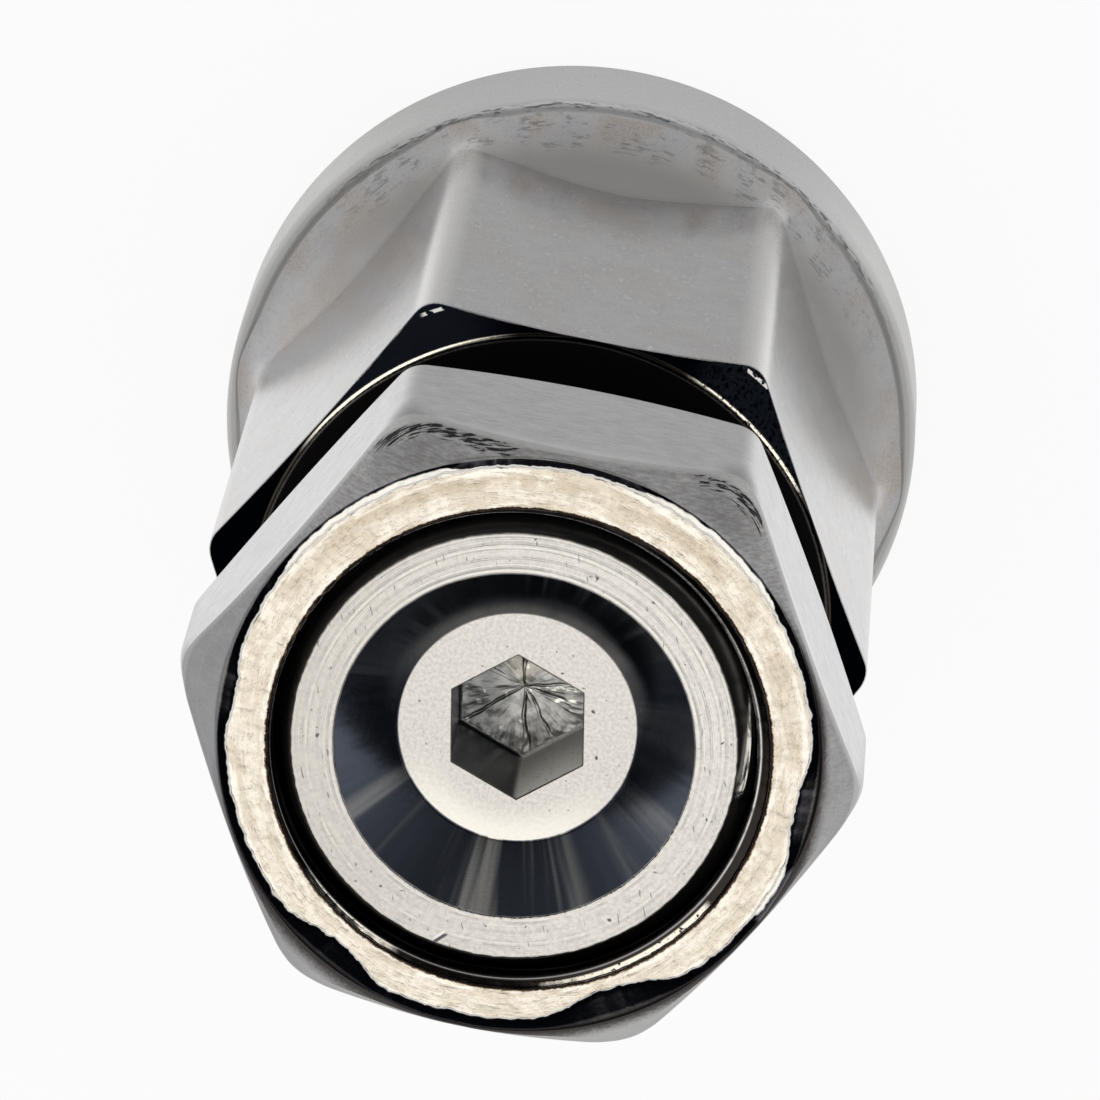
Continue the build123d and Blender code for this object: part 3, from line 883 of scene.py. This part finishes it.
    # two bright crinkles run out to one side of the middle
    aside = f.x * cos(radians(12)) + f.y * sin(radians(12))
    above = f.y * cos(radians(12)) - f.x * sin(radians(12))
    above = above + 0.35 * (g.noise(aside, 2.2, 36.0, 1.0) - 0.5)
    ground = g.shade(g.step(aside, -0.2, -1.2) * 0.6, ground, (0.14, 0.15, 0.16))
    first = g.step(abs(above + 0.12), 0.10, 0.04) * g.step(abs(aside - 0.9), 0.85, 0.7)
    second = g.step(abs(above + 0.60), 0.09, 0.04) * g.step(abs(aside - 1.5), 0.45, 0.35)
    crinkles = most(first, second) * g.step(cloud * 0.4 + grain * 0.6, 0.42, 0.50)
    ground = g.shade(crinkles, ground, (0.97, 0.96, 0.92))
    base = g.shade(socket_floor, base, g.shade(f.specks(2.4, 29.0, 0.10), ground, (0.70, 0.70, 0.68)))
    roughness = (0.31 + 0.12 * (grain - 0.5) - recess * (0.17 - 0.14 * front - 0.36 * lit_ramp_by_boss)
                 - 0.06 * socket_floor + 0.3 * khaki)
    relief = (0.008 * lines * ring * (0.4 + deep) + 0.0035 * grain * (1.0 - recess)
              + 0.004 * streaks * recess * front)
    return f.done(base, roughness, relief, 1.0 - 0.95 * khaki)


# ---------------------------------------------------------------- stage, light and camera

LEAN = radians(17.565)       # of the camera from the axis


def emptied(tree):
    for node in list(tree.nodes):
        tree.nodes.remove(node)
    return Graph(tree)


def seen_by(g):
    """Whether a ray comes from the eye, and whether it comes from a shiny or clear surface."""
    rays = g.add("ShaderNodeLightPath").socket.node.outputs
    eye, gloss, through = (Value(g, rays[name])
                           for name in ("Is Camera Ray", "Is Glossy Ray", "Is Transmission Ray"))
    return eye, most(gloss, through)


def floor():
    """A wide pale floor at the seat's level: matt under the light, white to the eye and in metal."""
    mesh = bpy.data.meshes.new("floor")
    half = 1.6          # metres
    corners = [(-half, -half, 0), (half, -half, 0), (half, half, 0), (-half, half, 0)]
    mesh.from_pydata(corners, [], [(0, 1, 2, 3)])
    sheet = bpy.data.objects.new("floor", mesh)
    bpy.context.scene.collection.objects.link(sheet)
    material = bpy.data.materials.new("pale_floor")
    material.use_nodes = True
    g = emptied(material.node_tree)
    eye, mirrored = seen_by(g)
    x, y, _ = g.split(g.add("ShaderNodeTexCoord", out=3))
    far = square_root(x * x + y * y)
    # metal sees the floor white by the object, greyer behind it and further out
    lit = g.step(y / most(far, 0.001), 0.5, 0.95, 0.93, 0.46) * g.step(far, 0.026, 0.046, 1.0, 0.5)
    white = g.add("ShaderNodeEmission", None,
                  {"Color": (1.0, 1.0, 1.0, 1.0), "Strength": choose(eye, 1.0, lit)})
    matt = g.add("ShaderNodeBsdfDiffuse", None, {"Color": (0.85, 0.85, 0.85, 1.0)})
    share = most(eye * 0.9, mirrored * 0.85)
    mixed = g.add("ShaderNodeMixShader", None, {0: share, 1: matt, 2: white})
    g.add("ShaderNodeOutputMaterial", None, {"Surface": mixed}, out=None)
    mesh.materials.append(material)


def studio():
    """Even white light; metal sees a soft white ceiling above, dark sides and a pale horizon."""
    world = bpy.data.worlds.new("studio")
    bpy.context.scene.world = world
    world.use_nodes = True
    g = emptied(world.node_tree)
    direction = g.add("ShaderNodeTexCoord", out=0)
    _, toward_back, up = g.split(direction)
    elevation = calc("ARCSINE", up) * (180 / pi)
    ceiling = g.step(elevation, 52.0, 65.0)
    # dark where the lens looks through
    opening = g.step(up * cos(LEAN) + toward_back * sin(LEAN), 0.955, 0.982)
    horizon = g.step(elevation, 22.0, 4.0) * g.step(toward_back, -0.5, 0.5, 1.05, 0.8)
    sky = g.shade(ceiling * (1.0 - opening * 0.97), (0.007, 0.009, 0.014), (1.38, 1.33, 1.25))
    sky = g.shade(horizon, sky, (1.0, 1.0, 1.0))
    eye, mirrored = seen_by(g)
    plain = g.shade(eye, (0.85, 0.85, 0.85), (1.0, 1.0, 1.0))
    light = g.add("ShaderNodeBackground", None,
                  {"Color": g.shade(mirrored, plain, sky), "Strength": 1.0})
    g.add("ShaderNodeOutputWorld", None, {"Surface": light}, out=None)


def camera_above():
    """A long lens that looks down on the post's end from the +Y side."""
    aim = Vector((0.050, 0.160, 22.0)) * MM
    distance, bearing, twist = 346.46 * MM, radians(91.405), radians(170.03)
    lens = bpy.data.cameras.new("camera")
    lens.sensor_width, lens.lens = 36.0, 294.5
    lens.clip_start, lens.clip_end = 0.01, 10.0
    camera = bpy.data.objects.new("camera", lens)
    bpy.context.scene.collection.objects.link(camera)
    toward = Vector((sin(LEAN) * cos(bearing), sin(LEAN) * sin(bearing), cos(LEAN)))
    level = toward.cross(Vector((0.0, 0.0, 1.0))).normalized() * -1.0
    steep = toward.cross(level)
    side = level * cos(twist) - steep * sin(twist)
    turn = Matrix((side, toward.cross(side), toward)).transposed().to_4x4()
    camera.matrix_world = Matrix.Translation(aim + toward * distance) @ turn
    bpy.context.scene.camera = camera


# ---------------------------------------------------------------- making the object

HEXAGON = {"Apothem": APOTHEM, "Edge rounding": HEX_EDGE_ROUND, "Face radius": FACE_RADIUS}
wheel = built("flanged_nut", {**HEXAGON, "Flange radius": FLANGE_RADIUS, "Height": NUT_TOP},
              wheel_nut_shape, wheel_nut_plating())
post = built("screwed_post",
             {"End height": POST_END, "Crest radius": POST_RADIUS, "Thread start": POST_THREAD_START},
             post_shape, turned_steel())
cover = built("clamp_nut", {**HEXAGON, "Base": COVER_BASE, "Top": COVER_TOP},
              cover_nut_shape, cover_nut_plating())

for piece, body, node, slot in (
    (wheel, "wheel_nut", "wheel_nut", "wheel_nut_plating"),
    (post, "wheel_nut", "threaded_post", "turned_steel"),
    (cover, "cover_nut", "cover_nut", "cover_nut_plating"),
):
    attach(piece, body)
    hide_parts(node)

floor()
studio()
camera_above()
bpy.context.scene.view_settings.view_transform = "Standard"
